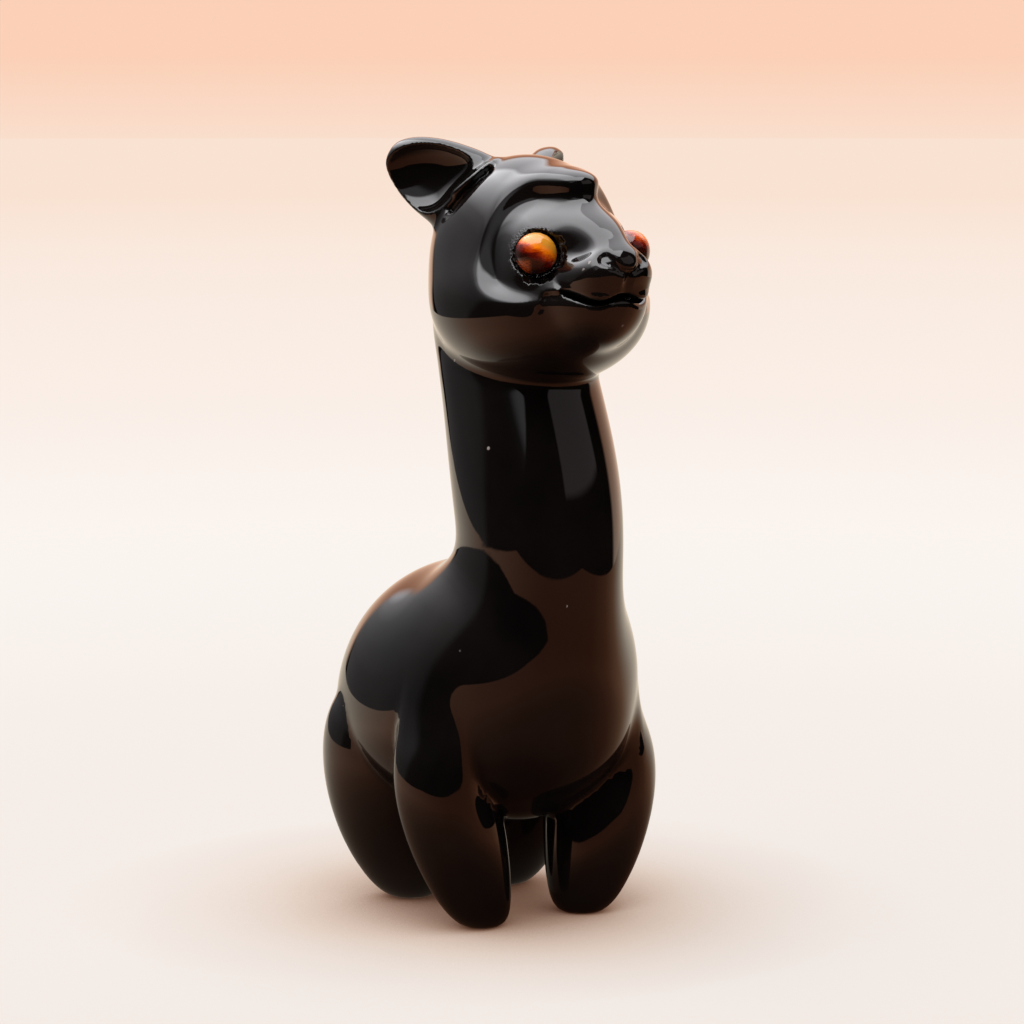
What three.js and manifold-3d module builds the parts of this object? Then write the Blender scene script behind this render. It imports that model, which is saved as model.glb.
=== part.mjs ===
// A small llama carved from one piece of black obsidian and polished all over, with two domed stone eyes
// let into drilled sockets. Millimetres, +Z up. The llama faces -Y and its own left side is at +X.
import * as THREE from "three";
import { mergeVertices } from "three/addons/utils/BufferGeometryUtils.js";
import Module from "manifold-3d";

// Overall sizes
const HEIGHT = 78.6; // floor to the top of the ears
const BODY_LENGTH = 35;
const BODY_WIDTH = 28.5;
const BACK_HEIGHT = 35.9;
const BELLY_HEIGHT = 9.25;
const GIRTH_HEIGHT = 20.4; // height at which the body is widest
const LEG_HEIGHT = 20.3; // floor to where a leg runs out inside the body

// Legs: each leans out from a small rounded foot to a broad hip
const STANCE_WIDTH = 11.6; // between the middles of the left and the right sole
const FRONT_STANCE = 7.2; // how far the front soles stand in front of the middle
const BACK_STANCE = 7.5;
const FOOT_RADIUS = 2.55;
const SOLE_ROUNDING = 3;
const SHOULDER_RADIUS = 5.95;
const THIGH_RADIUS = 7.6;
const LEG_SPLAY = 3.7; // how much further out the shoulder is than the foot

// Neck and head
const NECK_WIDTH = 15.6;
const NECK_DEPTH = 18.2;
const HEAD_HEIGHT = 21.4; // crown to the underside of the jaw
const HEAD_REACH = 7.8; // how far the middle of the head is in front of the middle of the feet
const CROWN_DROP = 1.7; // the crown below the top of the ears
const EAR_SPREAD = 9.8; // between the roots of the ears, which sets the width over both ears
const LEFT_EAR = 0.82; // size of the left ear, as a share of the right one

// Eyes: round domed stones with a flat back, each loose in its socket by a gap all round
const EYE_DIAMETER = 4;
const EYE_DOME = 1.7;
const EYE_GIRDLE = 0.9; // straight part of the stone, let into the socket
const EYE_PROUD = 0.1; // the straight part ends this much above the face
const EYE_GAP = 0.3;
const EYE_BEARING = 30; // degrees out from straight ahead, seen from above
const EYE_LIFT = 3; // degrees up from level
const SOCKET_FLARE = 0.6; // width of the bevel at the socket's mouth

// Fineness of the faceted surfaces
const BODY_STEP = 2.35;
const HEAD_STEP = 1.08;
const EYE_SEGMENTS = 24;
const DOME_RINGS = 6;
const MERGE_DISTANCE = 1e-5;
const TINY = 1e-6;
const FILL_DEPTH = 0.05; // depth given to a lattice point that is turned into stone

// The trunk's forms have a middle and half sizes across, along and up.
const TRUNK_DEPTH = BACK_HEIGHT - BELLY_HEIGHT;
const BARREL = {
  middle: [0, 0.0787 * BODY_LENGTH, GIRTH_HEIGHT],
  half: [BODY_WIDTH / 2, BODY_LENGTH / 2],
  below: GIRTH_HEIGHT - BELLY_HEIGHT,
  above: BACK_HEIGHT - GIRTH_HEIGHT,
  turn: 4.9, // height over which the lower half becomes the upper one
};
const CHEST = {
  middle: [0, -0.127 * BODY_LENGTH, BELLY_HEIGHT + 0.608 * TRUNK_DEPTH],
  half: [0.423 * BODY_WIDTH, 0.326 * BODY_LENGTH, 0.484 * TRUNK_DEPTH],
};
const BRISKET = {
  middle: [0, -0.128 * BODY_LENGTH, BELLY_HEIGHT + 0.158 * TRUNK_DEPTH],
  half: [0.189 * BODY_WIDTH, 0.141 * BODY_LENGTH, 0.135 * TRUNK_DEPTH],
};
const TRUNK_ROUNDING = { chest: 4, brisket: 2 };

// A leg's section is a slightly oval round that grows from the foot to the hip. Its rounding into the body
// goes from the first value on its inner side to the second one where it faces outwards.
const LEG = {
  turn: 31, // degrees that the oval is turned outwards
  long: 1.06,
  short: 0.96,
  leanHeight: 0.805 * LEG_HEIGHT,
  soleCut: 0.3, // how far the rounded sole is carried below the ground, which then cuts it flat
  merge: [0.2, 0.85], // how squarely a place faces outwards where the rounding changes
};
const FRONT_LEG = {
  stance: -FRONT_STANCE,
  splay: LEG_SPLAY,
  drawnIn: 0.25, // share of the stance by which the hip is nearer the middle than the foot
  radius: SHOULDER_RADIUS,
  growth: 0.3 * LEG_HEIGHT, // height in which most of the growth is done
  top: 0.962 * LEG_HEIGHT,
  topRounding: 13,
  rounding: [1.2, 8],
  outwards: [0.8, -0.6],
};
const BACK_LEG = {
  stance: BACK_STANCE,
  splay: 0.568 * LEG_SPLAY,
  drawnIn: -0.03,
  radius: THIGH_RADIUS,
  growth: 0.304 * LEG_HEIGHT,
  top: 1.266 * LEG_HEIGHT,
  topRounding: 19,
  rounding: [0.6, 0.6],
  outwards: [1, 0],
};

const CROWN = HEIGHT - CROWN_DROP;
const JAW_BOTTOM = CROWN - HEAD_HEIGHT;

// The neck's middle line goes from its foot to the head, leaning by the given slopes at its two ends.
const NECK = {
  foot: 0.852 * BACK_HEIGHT,
  top: JAW_BOTTOM + 0.248 * HEAD_HEIGHT,
  footPlace: -0.252 * BODY_LENGTH,
  footLean: -2.1,
  topPlace: 0.27 * HEAD_HEIGHT - HEAD_REACH,
  topLean: 13.8,
  swell: 0.036, // how much it fills out at mid height, as a share of its size
  swellPlace: 0.455,
  overlap: 8, // how far it is carried into the body
  capHeight: 0.5,
  capRounding: 8,
  bodyRounding: 4.9,
  headRounding: [1.8, 5.5], // at the jaw, and at the nape
  nape: [-3, 5], // places along the body between which the one becomes the other
};

// The head's forms are measured from its middle, in units of which its height has 21.4.
const HEAD_UNIT = HEAD_HEIGHT / 21.4;
const HEAD_MIDDLE = new THREE.Vector3(0, -HEAD_REACH, CROWN - HEAD_HEIGHT / 2);
const DOME = { middle: [0, 1.52, 0.62], half: [8.74, 12.12, 10.25] };
const JOWL = { middle: [0, -1, -4], half: [10.3, 11.63, 7.73] };
const CHEEKS = { middle: [0, -8.3, -2.4], half: [6.5, 5.6, 3] };
const SNOUT = { middle: [0, -11.6, -1.2], half: [4.4, 5, 2.8] };
const SNOUT_POWER = 3;
const NOSE = { middle: [0, -14.8, 0.5], half: [3, 1.9, 1.8] };
const CHIN = { middle: [0, -9.9, -2.6], half: [5.4, 6, 5.4] };
const BRIDGE = { from: [0, -8.2, 5.9], to: [0, -14.8, 0.4], radii: [2.3, 2] };
const NOSTRIL = { from: [0.7, -16.4, 0.2], to: [2, -15.9, 1.2], radii: [0.15, 0.3], depth: 0.38, width: 0.45 };
const CLEFT = { from: [0, -16.8, 0], to: [0, -16.6, -2.6], depth: 0.45, width: 0.35 };
const HEAD_ROUNDING = {
  skull: 5,
  cheek: 2.5,
  bridge: 6.5,
  nose: 2.2,
  lipEdge: 0.4,
  chinEdge: 0.3,
  mouth: [0.3, 2.4], // at the middle, and beyond the corners
  muzzle: 1.4,
  ear: 1.3,
};

// The upper lip's edge has two lobes, and the mouth's corners turn up.
const MOUTH = {
  height: -2.3,
  lobe: 0.8, // how far a lobe hangs down
  lobeWidth: 5.2,
  rise: 0.1, // slope up from the middle to the corner
  corner: [3.6, 5.2], // distances from the middle over which the mouth runs out
  drop: 4,
  dropPlace: [5, 8.5],
  line: { depth: 0.25, width: 0.3, lift: 0.1, face: [9, 11] },
};

// The groove that runs across the brow and down behind the eye, and the raised edge outside it
const BROW = {
  radius: 4.3,
  flatten: 0.85,
  groove: { depth: 1.1, width: 1.35, from: [-5, -2.5] },
  edge: { height: 0.45, width: 1.5, away: 2.2, from: [-1, 3] },
  face: [2, 6],
};

// An ear is a thin blade with a hollow face, a ridge across its root and a slot between ridge and head.
const EAR = {
  root: [EAR_SPREAD / 2 / HEAD_UNIT, 5.6, 6.6],
  axis: [0.577, 0.647, 0.455],
  down: [0.55, 0.42, -0.72],
  taper: 0.035, // loss of breadth for each unit along the ear
  blade: { middle: [2.4, -0.4, -0.6], half: [6.8, 4.6, 2.5] },
  bowl: { middle: [4.6, 0.4, 1.8], half: [4.2, 4.6, 2.6] },
  slant: 0.35, // how far the bowl's lower side is shifted outwards
  power: 2.4, // squareness of the blade and of the bowl
  bowlRounding: 0.6,
  slot: { from: [-1.6, -3.5, 0], to: [0, 1.6, 0], depth: 0.6, width: 0.6 },
  ridge: { from: [-1.2, -4.6, 0], to: [0.6, -0.1, 0], height: 0.35, width: 0.5 },
  front: [-1, 0.5],
};
const EYE_PLACE = [5.25, -8.6, 1.6];

const wasm = await Module();
wasm.setup();

const { lerp, smoothstep, clamp, degToRad } = THREE.MathUtils;
const { hypot, exp, abs, max, min, sin, cos, sign, PI, sqrt } = Math;

// Two distances joined with a rounding about as wide as k, smooth to the second derivative.
function blend(a, b, k) {
  const h = max(k - abs(a - b), 0) / k;
  return min(a, b) - (h * h * h * k) / 6;
}

// The part common to both, rounded as blend does.
function common(a, b, k) {
  return -blend(-a, -b, k);
}

// a with b taken away, rounded as blend does.
function carve(a, b, k) {
  return common(a, -b, k);
}

// A bump of height 1 and about the given width.
function bell(x, width) {
  return exp(-((x / width) ** 2));
}

function ellipsoid(x, y, z, rx, ry, rz) {
  const near = hypot(x / rx, y / ry, z / rz);
  const slope = hypot(x / rx ** 2, y / ry ** 2, z / rz ** 2);
  return slope < TINY ? -min(rx, ry, rz) : (near * (near - 1)) / slope;
}

function form(x, y, z, { middle, half }) {
  return ellipsoid(x - middle[0], y - middle[1], z - middle[2], ...half);
}

// A box with well rounded sides; a higher power makes it squarer.
function block(x, y, z, { middle, half }, power) {
  const q = [x, y, z].map((v, i) => abs(v - middle[i]) / half[i]);
  const near = max(q.reduce((sum, v) => sum + v ** power, 0) ** (1 / power), TINY);
  const slope = hypot(...q.map((v, i) => v ** (power - 1) / half[i])) / near ** (power - 1);
  return (near - 1) / max(slope, 1 / max(...half));
}

// A rod with round ends, whose radius changes evenly from one end to the other.
function rod(x, y, z, { from, to, radii = [0, 0] }) {
  const [ax, ay, az] = [x - from[0], y - from[1], z - from[2]];
  const [bx, by, bz] = [to[0] - from[0], to[1] - from[1], to[2] - from[2]];
  const t = clamp((ax * bx + ay * by + az * bz) / (bx * bx + by * by + bz * bz), 0, 1);
  return hypot(ax - bx * t, ay - by * t, az - bz * t) - lerp(radii[0], radii[1], t);
}

// A curve from y0 to y1 over t from 0 to 1, with those slopes at its ends.
function hermite(t, y0, slope0, y1, slope1) {
  const t2 = t * t;
  const t3 = t2 * t;
  return y0 + (3 * t2 - 2 * t3) * (y1 - y0) + (t3 - 2 * t2 + t) * slope0 + (t3 - t2) * slope1;
}

function trunk(x, y, z) {
  const dz = z - BARREL.middle[2];
  const share = (1 + dz / hypot(dz, BARREL.turn)) / 2;
  const rz = lerp(BARREL.below, BARREL.above, share);
  const barrel = ellipsoid(x, y - BARREL.middle[1], dz, ...BARREL.half, rz);
  const withChest = blend(barrel, form(x, y, z, CHEST), TRUNK_ROUNDING.chest);
  return blend(withChest, form(x, y, z, BRISKET), TRUNK_ROUNDING.brisket);
}

function neck(x, y, z) {
  const t = (z - NECK.foot) / (NECK.top - NECK.foot);
  const middle = hermite(clamp(t, -0.4, 1.2), NECK.footPlace, NECK.footLean, NECK.topPlace, NECK.topLean);
  const swell = 1 + NECK.swell * cos(2 * PI * (t - NECK.swellPlace));
  const rx = (NECK_WIDTH / 2) * swell;
  const ry = (NECK_DEPTH / 2) * swell;
  const side = (hypot(x / rx, (y - middle) / ry) - 1) * rx;
  const ends = max(z - NECK.top - NECK.capHeight, NECK.foot - NECK.overlap - z);
  return common(side, ends, NECK.capRounding);
}

// A leg's distance, and the rounding with which it joins the body there
function leg(x, y, z, { stance, splay, drawnIn, radius, growth, top, topRounding, rounding, outwards }) {
  const r = lerp(FOOT_RADIUS, radius, 1 - exp(-max(z, -growth / 3) / growth));
  const t = z / LEG.leanHeight;
  const dx = x - STANCE_WIDTH / 2 - (splay * (3 * t - t * t)) / 2;
  const dy = y - stance * (1 - drawnIn * t);
  const along = dx * cos(degToRad(LEG.turn)) + dy * sin(degToRad(LEG.turn)) * sign(stance);
  const across = dx * sin(degToRad(LEG.turn)) - dy * cos(degToRad(LEG.turn)) * sign(stance);
  const side = hypot(along / LEG.long, across / LEG.short) - r;
  const foot = common(side, -z - LEG.soleCut, SOLE_ROUNDING);
  const facing = (dx * outwards[0] + dy * outwards[1]) / (hypot(dx, dy) + TINY);
  return [common(foot, z - top, topRounding), lerp(...rounding, smoothstep(facing, ...LEG.merge))];
}

function lower(x, y, z) {
  let d = blend(trunk(x, y, z), neck(x, y, z), NECK.bodyRounding);
  for (const part of [FRONT_LEG, BACK_LEG]) {
    const [limb, rounding] = leg(x, y, z, part);
    d = blend(d, limb, rounding);
  }
  return d;
}

function eyeAxes() {
  const a = degToRad(EYE_BEARING);
  const b = degToRad(EYE_LIFT);
  const out = new THREE.Vector3(sin(a) * cos(b), -cos(a) * cos(b), sin(b));
  const nose = new THREE.Vector3(-cos(a), -sin(a), 0);
  return { out, nose, up: new THREE.Vector3().crossVectors(nose, out) };
}
const EYE = eyeAxes();

function earAxes() {
  const axis = new THREE.Vector3(...EAR.axis).normalize();
  const face = new THREE.Vector3().crossVectors(new THREE.Vector3(...EAR.down), axis).normalize();
  return { axis, face, down: new THREE.Vector3().crossVectors(axis, face) };
}
const EAR_AXES = earAxes();

function along(axis, x, y, z) {
  return axis.x * x + axis.y * y + axis.z * z;
}

// Height of the upper lip's edge at a distance x from the middle of the face
function lipLine(x) {
  const lobe = MOUTH.lobe * sin((PI * min(x, MOUTH.lobeWidth)) / MOUTH.lobeWidth) ** 2;
  return MOUTH.height - lobe + MOUTH.rise * x - MOUTH.drop * smoothstep(x, ...MOUTH.dropPlace);
}

function muzzle(x, y, z) {
  const lip = lipLine(x);
  const pads = blend(block(x, y, z, SNOUT, SNOUT_POWER), form(x, y, z, CHEEKS), HEAD_ROUNDING.cheek);
  const upper = common(pads, lip - z, HEAD_ROUNDING.lipEdge);
  const chin = common(form(x, y, z, CHIN), z - lip, HEAD_ROUNDING.chinEdge);
  const closed = blend(upper, chin, lerp(...HEAD_ROUNDING.mouth, smoothstep(x, ...MOUTH.corner)));
  return blend(closed, form(x, y, z, NOSE), HEAD_ROUNDING.nose);
}

// How much is cut off the face by the groove round the eye, less what its raised edge adds
function browRelief(x, y, z) {
  const p = [x - EYE_PLACE[0], y - EYE_PLACE[1], z - EYE_PLACE[2]];
  const s = along(EYE.nose, ...p);
  const t = along(EYE.up, ...p);
  const behind = (s - sqrt(s * s + 1)) / 2;
  const away = hypot(behind, BROW.flatten * t) - BROW.radius;
  const face = smoothstep(-y, ...BROW.face) * smoothstep(t, ...BROW.groove.from);
  const cut = BROW.groove.depth * bell(away, BROW.groove.width);
  const raised = bell(away - BROW.edge.away, BROW.edge.width);
  const edge = BROW.edge.height * smoothstep(t, ...BROW.edge.from) * raised;
  return face * (cut - edge);
}

// The line of the closed mouth below the upper lip
function mouthRelief(x, y, z) {
  const { depth, width, lift, face } = MOUTH.line;
  const shown = smoothstep(-y, ...face) * (1 - smoothstep(x, ...MOUTH.corner));
  return depth * shown * bell(z - lipLine(x) + lift, width);
}

// The ear's own directions: along it, down across it and out of its hollow face
function earPlace(x, y, z, size) {
  const p = [x, y, z].map((v, i) => (v - EAR.root[i]) / size);
  return [along(EAR_AXES.axis, ...p), along(EAR_AXES.down, ...p), along(EAR_AXES.face, ...p)];
}

function withEar(d, x, y, z, size) {
  const [e, down, out] = earPlace(x, y, z, size);
  const broad = down / (1 - EAR.taper * e);
  const blade = block(e, broad, out, EAR.blade, EAR.power);
  const bowl = block(e - EAR.slant * broad, broad, out, EAR.bowl, EAR.power);
  const ear = carve(blade, bowl, EAR.bowlRounding) * size;
  const front = smoothstep(out, ...EAR.front);
  const slot = EAR.slot.depth * bell(rod(e, down, 0, EAR.slot), EAR.slot.width);
  const ridge = EAR.ridge.height * bell(rod(e, down, 0, EAR.ridge), EAR.ridge.width);
  return blend(d, ear, HEAD_ROUNDING.ear) + front * (slot - ridge);
}

function head(x, y, z, earSize) {
  const skull = blend(form(x, y, z, DOME), form(x, y, z, JOWL), HEAD_ROUNDING.skull);
  const brow = blend(skull, rod(x, y, z, BRIDGE), HEAD_ROUNDING.bridge);
  let d = blend(brow, muzzle(x, y, z), HEAD_ROUNDING.muzzle) + browRelief(x, y, z) + mouthRelief(x, y, z);
  for (const cut of [NOSTRIL, CLEFT]) d += cut.depth * bell(max(rod(x, y, z, cut), 0), cut.width);
  return withEar(d, x, y, z, earSize);
}

// Both sides are alike but for the ears' sizes.
function figure(x, y, z) {
  const ax = abs(x);
  const u = HEAD_UNIT;
  const bust = head(ax / u, (y - HEAD_MIDDLE.y) / u, (z - HEAD_MIDDLE.z) / u, x > 0 ? LEFT_EAR : 1) * u;
  return blend(lower(ax, y, z), bust, lerp(...NECK.headRounding, smoothstep(y, ...NECK.nape)));
}

// The direction in which a distance grows fastest
function gradient(field, p, step = 0.01) {
  const g = new THREE.Vector3(
    field(p.x + step, p.y, p.z) - field(p.x - step, p.y, p.z),
    field(p.x, p.y + step, p.z) - field(p.x, p.y - step, p.z),
    field(p.x, p.y, p.z + step) - field(p.x, p.y, p.z - step),
  );
  return g.multiplyScalar(0.5 / step);
}

// Moves a point on to the surface.
function settle(field, p, rounds = 4) {
  for (let round = 0; round < rounds; round++) {
    const g = gradient(field, p);
    p.addScaledVector(g, -field(p.x, p.y, p.z) / max(g.lengthSq(), 0.25));
  }
  return p;
}

// The lattice on which the figure is measured: coarse at the body, finer and further forward at the head.
function lattice() {
  const share = (z) => smoothstep(z, JAW_BOTTOM - 0.4 * HEAD_HEIGHT, JAW_BOTTOM);
  const stepAt = (z) => lerp(BODY_STEP, HEAD_STEP, share(z));
  const across = max((0.65 * BODY_WIDTH) / BODY_STEP, (0.7 * HEAD_HEIGHT) / HEAD_STEP);
  const along = max((0.62 * BODY_LENGTH) / BODY_STEP, (0.85 * HEAD_HEIGHT) / HEAD_STEP);
  const nx = Math.ceil(across) + 2;
  const ny = Math.ceil(along) + 2;
  const levels = [];
  for (let z = -2 * BODY_STEP; z < HEIGHT + 4 * HEAD_STEP; z += stepAt(z)) levels.push(z);
  const middleAt = (z) => (HEAD_MIDDLE.y - 0.1 * HEAD_HEIGHT) * share(z);
  const point = (i, j, k) => {
    const z = levels[k];
    return new THREE.Vector3((i - nx) * stepAt(z), middleAt(z) + (j - ny) * stepAt(z), z);
  };
  return { size: [2 * nx + 1, 2 * ny + 1, levels.length], point };
}

// Calls back with each place of a lattice, and with its index.
function eachPlace(size, visit) {
  for (let k = 0, at = 0; k < size[2]; k++)
    for (let j = 0; j < size[1]; j++) for (let i = 0; i < size[0]; i++, at++) visit(i, j, k, at);
}

// Where stone meets stone only across the corners of a lattice face, the nearer empty corner becomes
// stone, so that no two sheets of the surface share an edge.
function closeCorners(values, size) {
  const strides = [1, size[0], size[0] * size[1]];
  let changed = true;
  while (changed) {
    changed = false;
    eachPlace(size, (i, j, k, at) => {
      const place = [i, j, k];
      for (const [u, v] of [[0, 1], [1, 2], [0, 2]]) {
        if (place[u] + 1 >= size[u] || place[v] + 1 >= size[v]) continue;
        const face = [at, at + strides[u], at + strides[u] + strides[v], at + strides[v]];
        const stone = face.map((c) => values[c] < 0);
        if (stone[0] === stone[1] || stone[0] !== stone[2] || stone[1] !== stone[3]) continue;
        const empty = face.filter((c, n) => !stone[n]);
        const nearer = values[empty[0]] < values[empty[1]] ? empty[0] : empty[1];
        values[nearer] = -FILL_DEPTH;
        changed = true;
      }
    });
  }
}

// Empty places that can't be reached from outside become stone.
function fillPockets(values, size) {
  const strides = [1, size[0], size[0] * size[1]];
  const reached = new Uint8Array(values.length);
  const open = [0];
  reached[0] = 1;
  while (open.length) {
    const at = open.pop();
    for (const stride of strides)
      for (const next of [at - stride, at + stride]) {
        if (next < 0 || next >= values.length || reached[next] || values[next] < 0) continue;
        reached[next] = 1;
        open.push(next);
      }
  }
  for (let at = 0; at < values.length; at++) if (values[at] >= 0 && !reached[at]) values[at] = -FILL_DEPTH;
}

// The closed surface where the field is zero: one vertex in each cell that it crosses, and one quad
// across each edge of the lattice that it cuts.
function surfaceOf(field) {
  const { size, point } = lattice();
  const index = (i, j, k) => (k * size[1] + j) * size[0] + i;
  const values = new Float64Array(size[0] * size[1] * size[2]);
  eachPlace(size, (i, j, k, at) => {
    const p = point(i, j, k);
    values[at] = field(p.x, p.y, p.z);
  });
  closeCorners(values, size);
  fillPockets(values, size);

  const corners = [];
  for (let c = 0; c < 8; c++) corners.push([c & 1, (c >> 1) & 1, (c >> 2) & 1]);
  const edges = [];
  for (let a = 0; a < 8; a++) for (const bit of [1, 2, 4]) if (!(a & bit)) edges.push([a, a | bit]);

  const positions = [];
  const vertexOf = new Map();
  eachPlace(size.map((n) => n - 1), (i, j, k) => {
    const at = corners.map(([a, b, c]) => values[index(i + a, j + b, k + c)]);
    const inside = at.filter((v) => v < 0).length;
    if (inside === 0 || inside === 8) return;
    const sum = new THREE.Vector3();
    let crossings = 0;
    for (const [a, b] of edges) {
      if (at[a] < 0 === at[b] < 0) continue;
      const from = point(i + corners[a][0], j + corners[a][1], k + corners[a][2]);
      const to = point(i + corners[b][0], j + corners[b][1], k + corners[b][2]);
      sum.add(from.lerp(to, at[a] / (at[a] - at[b])));
      crossings++;
    }
    vertexOf.set(index(i, j, k), positions.length);
    positions.push(settle(field, sum.divideScalar(crossings)));
  });

  const triangles = [];
  const addQuad = (a, b, c, d) => {
    const [pa, pb, pc, pd] = [a, b, c, d].map((v) => positions[v]);
    if (pa.distanceTo(pc) <= pb.distanceTo(pd)) triangles.push(a, b, c, a, c, d);
    else triangles.push(a, b, d, b, c, d);
  };
  eachPlace(size.map((n) => n - 1), (i, j, k) => {
    const here = values[index(i, j, k)] < 0;
    const cell = (a, b, c) => vertexOf.get(index(i - a, j - b, k - c));
    const rings = [
      [values[index(i + 1, j, k)], [cell(0, 1, 1), cell(0, 0, 1), cell(0, 0, 0), cell(0, 1, 0)]],
      [values[index(i, j + 1, k)], [cell(1, 0, 1), cell(1, 0, 0), cell(0, 0, 0), cell(0, 0, 1)]],
      [values[index(i, j, k + 1)], [cell(1, 1, 0), cell(0, 1, 0), cell(0, 0, 0), cell(1, 0, 0)]],
    ];
    for (const [value, ring] of rings) {
      if (value < 0 === here) continue;
      if (here) addQuad(...ring);
      else addQuad(...ring.reverse());
    }
  });

  const flat = positions.flatMap((p) => p.toArray());
  const geometry = new THREE.BufferGeometry();
  geometry.setAttribute("position", new THREE.Float32BufferAttribute(flat, 3));
  geometry.setIndex(triangles);
  return geometry;
}

// The point of the face that lies on the eye's axis
function eyeSeat() {
  const seat = new THREE.Vector3(...EYE_PLACE).multiplyScalar(HEAD_UNIT).add(HEAD_MIDDLE);
  for (let round = 0; round < 20; round++) seat.addScaledVector(EYE.out, -figure(seat.x, seat.y, seat.z));
  return seat;
}

function mirrored(geometry) {
  const copy = geometry.clone().scale(-1, 1, 1);
  const index = copy.getIndex().array;
  for (let i = 0; i < index.length; i += 3) [index[i], index[i + 1]] = [index[i + 1], index[i]];
  return copy;
}

// A turned solid on the eye's axis, from a profile of radius and height above the face
function turnedAtEye(profile, side) {
  const seat = eyeSeat();
  const points = profile.map(([radius, height]) => new THREE.Vector2(radius, height));
  const turned = new THREE.LatheGeometry(points, EYE_SEGMENTS);
  turned.applyQuaternion(new THREE.Quaternion().setFromUnitVectors(new THREE.Vector3(0, 1, 0), EYE.out));
  turned.translate(seat.x, seat.y, seat.z);
  return side < 0 ? mirrored(turned) : turned;
}

function stoneProfile() {
  const radius = EYE_DIAMETER / 2;
  const profile = [[0, -EYE_GIRDLE], [radius, -EYE_GIRDLE]];
  for (let i = 0; i < DOME_RINGS; i++) {
    const a = (i / DOME_RINGS) * (PI / 2);
    profile.push([radius * cos(a), EYE_PROUD + EYE_DOME * sin(a)]);
  }
  profile.push([0, EYE_PROUD + EYE_DOME]);
  return profile;
}

// The socket clears the stone all round. Its mouth is bevelled and open to beyond the top of the dome.
function socketProfile() {
  const radius = EYE_DIAMETER / 2 + EYE_GAP;
  const mouth = radius + SOCKET_FLARE;
  const floor = -EYE_GIRDLE - EYE_GAP;
  const top = EYE_PROUD + EYE_DOME + EYE_GAP;
  return [[0, floor], [radius, floor], [radius, -SOCKET_FLARE], [mouth, EYE_PROUD], [mouth, top], [0, top]];
}

function toSolid(geometry) {
  const bare = geometry.clone();
  bare.deleteAttribute("normal");
  bare.deleteAttribute("uv");
  const merged = mergeVertices(bare, MERGE_DISTANCE);
  const vertProperties = Float32Array.from(merged.getAttribute("position").array);
  const triVerts = Uint32Array.from(merged.getIndex().array);
  return new wasm.Manifold(new wasm.Mesh({ numProp: 3, vertProperties, triVerts }));
}

function toGeometry(solid) {
  const mesh = solid.getMesh();
  const geometry = new THREE.BufferGeometry();
  geometry.setAttribute("position", new THREE.Float32BufferAttribute(mesh.vertProperties, 3));
  geometry.setIndex(new THREE.Uint32BufferAttribute(mesh.triVerts, 1));
  return geometry;
}

// The carved stone, with flat soles and a socket for each eye
function carvedStone() {
  const ground = new THREE.BoxGeometry(4 * BODY_WIDTH, 4 * BODY_LENGTH, HEIGHT).translate(0, 0, -HEIGHT / 2);
  let stone = toSolid(surfaceOf(figure)).subtract(toSolid(ground));
  for (const side of [-1, 1]) stone = stone.subtract(toSolid(turnedAtEye(socketProfile(), side)));
  return toGeometry(stone);
}

const OBSIDIAN = { color: 0x070605, roughness: 0.05, metalness: 0 };
const TIGER_EYE = { color: 0x8a3d0c, roughness: 0.12, metalness: 0 };

function named(name, geometry, finish) {
  const mesh = new THREE.Mesh(geometry, new THREE.MeshStandardMaterial(finish));
  mesh.name = name;
  return mesh;
}

// The origin is on the ground, below the middle of the whole width and length.
const stone = carvedStone();
stone.computeBoundingBox();
const middle = stone.boundingBox.getCenter(new THREE.Vector3());

const llama = new THREE.Group();
llama.add(named("body", stone, OBSIDIAN));
llama.add(named("right_eye", turnedAtEye(stoneProfile(), -1), TIGER_EYE));
llama.add(named("left_eye", turnedAtEye(stoneProfile(), 1), TIGER_EYE));
for (const mesh of llama.children) mesh.geometry.translate(-middle.x, -middle.y, 0);

export default llama;
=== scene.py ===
"""A small obsidian llama with two domed tiger's-eye eyes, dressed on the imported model.

The stone's shape is a distance field measured in millimetres from the middle of the feet, with the same
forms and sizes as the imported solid. Here it is meshed finely, and the sockets get their chipped rims.
"""

import math

import bpy
import numpy as np
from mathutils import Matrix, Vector


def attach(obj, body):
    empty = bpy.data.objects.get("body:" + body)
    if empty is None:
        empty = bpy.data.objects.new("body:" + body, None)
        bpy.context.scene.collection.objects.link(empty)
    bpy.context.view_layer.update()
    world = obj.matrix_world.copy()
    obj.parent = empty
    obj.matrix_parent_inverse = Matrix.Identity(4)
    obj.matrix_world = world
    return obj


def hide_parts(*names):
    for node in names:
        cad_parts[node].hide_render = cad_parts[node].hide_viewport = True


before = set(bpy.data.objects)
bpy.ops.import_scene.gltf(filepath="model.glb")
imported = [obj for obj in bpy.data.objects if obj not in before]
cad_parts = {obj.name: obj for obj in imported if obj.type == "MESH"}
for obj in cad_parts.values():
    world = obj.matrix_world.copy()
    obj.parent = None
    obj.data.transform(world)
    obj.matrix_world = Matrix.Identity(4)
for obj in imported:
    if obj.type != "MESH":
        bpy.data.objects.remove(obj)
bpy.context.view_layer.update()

MM = 0.001
TO_MM = 1 / MM
FEET = (0.0, 2.28)  # the middle of the feet in the model's own frame, in millimetres

# Overall sizes
HEIGHT = 78.6  # floor to the top of the ears
BODY_LENGTH = 35
BODY_WIDTH = 28.5
BACK_HEIGHT = 35.9
BELLY_HEIGHT = 9.25
GIRTH_HEIGHT = 20.4  # height at which the body is widest
LEG_HEIGHT = 20.3  # floor to where a leg runs out inside the body

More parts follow.
